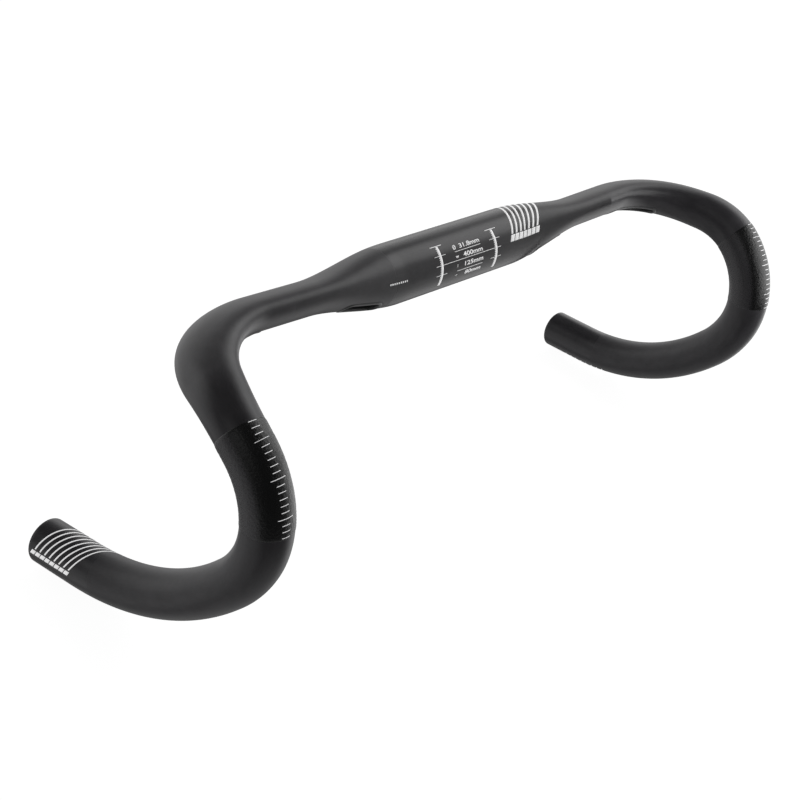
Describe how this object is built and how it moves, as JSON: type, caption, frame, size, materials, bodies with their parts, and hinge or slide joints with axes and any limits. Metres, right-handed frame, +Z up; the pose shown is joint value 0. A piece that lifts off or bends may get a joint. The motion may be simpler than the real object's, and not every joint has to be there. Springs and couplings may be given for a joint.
{
  "type": "drop handlebar",
  "caption": "Road bicycle drop handlebar: round clamp zone, flattened tops, compact hooks with lever grip bands and internal cable ports.",
  "frame": {"origin": "middle of the clamp zone's rear face, where the stem seats, 15.7 mm behind the bar's own axis", "axes": "+X along the bar to the rider's left, -Y forward (the way the hooks reach), +Z up with the drop ends level"},
  "size_m": [0.444, 0.1521, 0.1536],
  "materials": {
    "satin_carbon": "satin clear coat over unidirectional carbon",
    "bare_carbon": "bare moulded carbon",
    "port_rim": "satin moulded lip",
    "grip_grit": "coarse glossy friction grit",
    "clear_film": "thin clear transfer film",
    "white_print": "white ink under clear coat"
  },
  "bodies": {
    "root": {"centre_tube": "satin_carbon", "left_drop_tube": "satin_carbon", "right_drop_tube": "satin_carbon", "clamp_reinforcement_sleeve": "bare_carbon", "left_joint_sleeve": "bare_carbon", "right_joint_sleeve": "bare_carbon", "left_inner_port_rim": "port_rim", "right_inner_port_rim": "port_rim", "left_outer_port_rim": "port_rim", "right_outer_port_rim": "port_rim", "left_lever_grip_band": "grip_grit", "right_lever_grip_band": "grip_grit", "left_lever_scale_film": "clear_film", "right_lever_scale_film": "clear_film", "stem_scale_print": "white_print", "size_film": "clear_film", "material_mark_print": "white_print", "centre_stripe_print": "white_print", "left_end_stripe_print": "white_print", "right_end_stripe_print": "white_print"}
  },
  "joints": []
}
